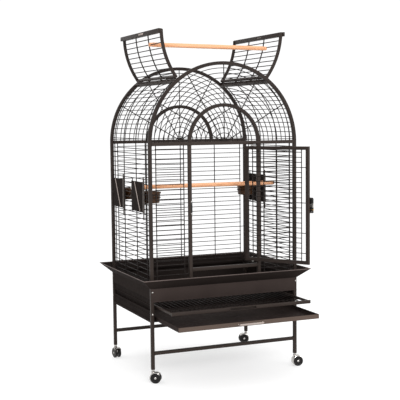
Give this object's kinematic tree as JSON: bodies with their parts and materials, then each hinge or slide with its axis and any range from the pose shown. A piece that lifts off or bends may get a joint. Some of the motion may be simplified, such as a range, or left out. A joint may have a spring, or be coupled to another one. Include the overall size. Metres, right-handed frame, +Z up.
{
  "type": "bird cage on stand",
  "caption": "Arched wire bird cage on a wheeled stand, with an opening roof and play perch, swing door, seed guard, feeders, slide-out grate and tray",
  "frame": {"origin": "On the floor, under the middle of the whole envelope with the door open and the grate and tray pulled out; the cage itself stands 139.5 mm behind it.", "axes": "+Z up; -Y out of the front, where the door is; +X to the right of someone facing the door from inside, which is the hinge side of the door as seen from the front."},
  "size_m": [1.0304, 1.08, 1.9451],
  "materials": {
    "frame_tube": "dark bronze hammered powder coat, satin",
    "wire": "dark bronze powder coat, satin",
    "sheet_steel": "dark bronze powder coat on thin sheet, satin",
    "perch_wood": "plain pale pine dowel, unvarnished",
    "feeder_cup": "dark brown moulded plastic, slight gloss",
    "bright_metal": "bright chrome plate",
    "caster_metal": "bright plated hood and stem",
    "caster_wheel": "black nylon tread, satin",
    "lock_plastic": "black moulded plastic, satin"
  },
  "bodies": {
    "cage": {"base_frame": "frame_tube", "cabinet_back": "sheet_steel", "cabinet_side_left": "sheet_steel", "cabinet_side_right": "sheet_steel", "door_hinge_lower": "frame_tube", "door_hinge_upper": "frame_tube", "door_post_left": "frame_tube", "door_post_right": "frame_tube", "door_sill": "frame_tube", "front_apron": "sheet_steel", "front_fan_mesh": "wire", "front_hoop": "frame_tube", "front_inner_arch": "frame_tube", "front_lower_crossbar": "frame_tube", "front_mesh_left": "wire", "front_mesh_right": "wire", "front_spring_rail": "frame_tube", "inner_perch": "perch_wood", "left_roof_bar": "frame_tube", "left_side_mesh": "wire", "left_vault_mesh": "wire", "rear_fan_mesh": "wire", "rear_hoop": "frame_tube", "rear_inner_arch": "frame_tube", "rear_lower_crossbar": "frame_tube", "rear_mesh": "wire", "rear_spring_rail": "frame_tube", "right_roof_bar": "frame_tube", "right_side_mesh": "wire", "right_vault_mesh": "wire", "seed_guard_front": "sheet_steel", "seed_guard_left": "sheet_steel", "seed_guard_rear": "sheet_steel", "seed_guard_right": "sheet_steel"},
    "door": {"door_frame": "frame_tube", "door_mesh": "wire", "lock_body": "lock_plastic"},
    "door_lock_knob": {"lock_knob": "bright_metal"},
    "left_flap": {"left_flap_frame": "frame_tube", "left_flap_mesh": "wire"},
    "right_flap": {"right_flap_frame": "frame_tube", "right_flap_mesh": "wire"},
    "play_perch": {"top_perch": "perch_wood"},
    "floor_grate": {"grate": "frame_tube"},
    "litter_tray": {"tray": "sheet_steel", "tray_handle": "bright_metal"},
    "feeder_left_rear": {"feeder_door_left_rear": "sheet_steel"},
    "food_cup_left_rear": {"cup_left_rear": "feeder_cup"},
    "feeder_left_front": {"feeder_door_left_front": "sheet_steel"},
    "food_cup_left_front": {"cup_left_front": "feeder_cup"},
    "feeder_right_rear": {"feeder_door_right_rear": "sheet_steel"},
    "food_cup_right_rear": {"cup_right_rear": "feeder_cup"},
    "caster_front_left": {"caster_body_front_left": "caster_metal"},
    "wheels_front_left": {"caster_wheels_front_left": "caster_wheel"},
    "caster_front_right": {"caster_body_front_right": "caster_metal"},
    "wheels_front_right": {"caster_wheels_front_right": "caster_wheel"},
    "caster_rear_left": {"caster_body_rear_left": "caster_metal"},
    "wheels_rear_left": {"caster_wheels_rear_left": "caster_wheel"},
    "caster_rear_right": {"caster_body_rear_right": "caster_metal"},
    "wheels_rear_right": {"caster_wheels_rear_right": "caster_wheel"}
  },
  "joints": [
    {"name": "door_hinge", "type": "hinge", "parent": "cage", "child": "door", "pos_m": [0.165, -0.2075, 0.97], "axis": [0, 0, 1], "range_deg": [-125, 25]},
    {"name": "door_lock_turn", "type": "hinge", "parent": "door", "child": "door_lock_knob", "pos_m": [0.37874, -0.50037, 0.99], "axis": [0.8192, 0.5736, 0], "range_deg": [-90, 0]},
    {"name": "play_perch_lift", "type": "slide", "parent": "cage", "child": "play_perch", "axis": [0, 0, 1], "range_m": [0, 1.7]},
    {"name": "left_flap_hinge", "type": "hinge", "parent": "cage", "child": "left_flap", "pos_m": [-0.28231, 0.1395, 1.67369], "axis": [0, 1, 0], "range_deg": [0, 88]},
    {"name": "right_flap_hinge", "type": "hinge", "parent": "cage", "child": "right_flap", "pos_m": [0.28231, 0.1395, 1.67369], "axis": [0, -1, 0], "range_deg": [0, 90]},
    {"name": "grate_slide", "type": "slide", "parent": "cage", "child": "floor_grate", "axis": [0, 1, 0], "range_m": [-0.1, 0.23]},
    {"name": "tray_slide", "type": "slide", "parent": "cage", "child": "litter_tray", "axis": [0, 1, 0], "range_m": [-0.1, 0.325]},
    {"name": "feeder_left_rear_hinge", "type": "hinge", "parent": "cage", "child": "feeder_left_rear", "pos_m": [-0.4455, 0.26045, 1.02], "axis": [0, 0, 1], "range_deg": [0, 100]},
    {"name": "cup_left_rear_lift", "type": "slide", "parent": "feeder_left_rear", "child": "food_cup_left_rear", "axis": [0, 0, 1], "range_m": [0, 0.12]},
    {"name": "feeder_left_front_hinge", "type": "hinge", "parent": "cage", "child": "feeder_left_front", "pos_m": [-0.4455, -0.08355, 1.02], "axis": [0, 0, 1], "range_deg": [0, 100]},
    {"name": "cup_left_front_lift", "type": "slide", "parent": "feeder_left_front", "child": "food_cup_left_front", "axis": [0, 0, 1], "range_m": [0, 0.12]},
    {"name": "feeder_right_rear_hinge", "type": "hinge", "parent": "cage", "child": "feeder_right_rear", "pos_m": [0.4455, 0.20745, 1.02], "axis": [0, 0, -1], "range_deg": [0, 100]},
    {"name": "cup_right_rear_lift", "type": "slide", "parent": "feeder_right_rear", "child": "food_cup_right_rear", "axis": [0, 0, 1], "range_m": [0, 0.12]},
    {"name": "caster_front_left_swivel", "type": "hinge", "parent": "cage", "child": "caster_front_left", "pos_m": [-0.4445, -0.1905, 0.07], "axis": [0, 0, 1], "continuous": true},
    {"name": "caster_front_left_roll", "type": "hinge", "parent": "caster_front_left", "child": "wheels_front_left", "pos_m": [-0.43093, -0.19898, 0.03], "axis": [0.5299, 0.848, 0], "continuous": true},
    {"name": "caster_front_right_swivel", "type": "hinge", "parent": "cage", "child": "caster_front_right", "pos_m": [0.4445, -0.1905, 0.07], "axis": [0, 0, 1], "continuous": true},
    {"name": "caster_front_right_roll", "type": "hinge", "parent": "caster_front_right", "child": "wheels_front_right", "pos_m": [0.46015, -0.19383, 0.03], "axis": [0.2079, 0.9781, 0], "continuous": true},
    {"name": "caster_rear_left_swivel", "type": "hinge", "parent": "cage", "child": "caster_rear_left", "pos_m": [-0.4445, 0.4695, 0.07], "axis": [0, 0, 1], "continuous": true},
    {"name": "caster_rear_left_roll", "type": "hinge", "parent": "caster_rear_left", "child": "wheels_rear_left", "pos_m": [-0.44311, 0.45356, 0.03], "axis": [0.9962, 0.0872, 0], "continuous": true},
    {"name": "caster_rear_right_swivel", "type": "hinge", "parent": "cage", "child": "caster_rear_right", "pos_m": [0.4445, 0.4695, 0.07], "axis": [0, 0, 1], "continuous": true},
    {"name": "caster_rear_right_roll", "type": "hinge", "parent": "caster_rear_right", "child": "wheels_rear_right", "pos_m": [0.42874, 0.47228, 0.03], "axis": [-0.1736, -0.9848, 0], "continuous": true}
  ],
  "couplings": [
    {"joint": "left_flap_hinge", "follows": "play_perch_lift", "rad_per_m": 0.9034},
    {"joint": "right_flap_hinge", "follows": "play_perch_lift", "rad_per_m": 0.9239}
  ]
}
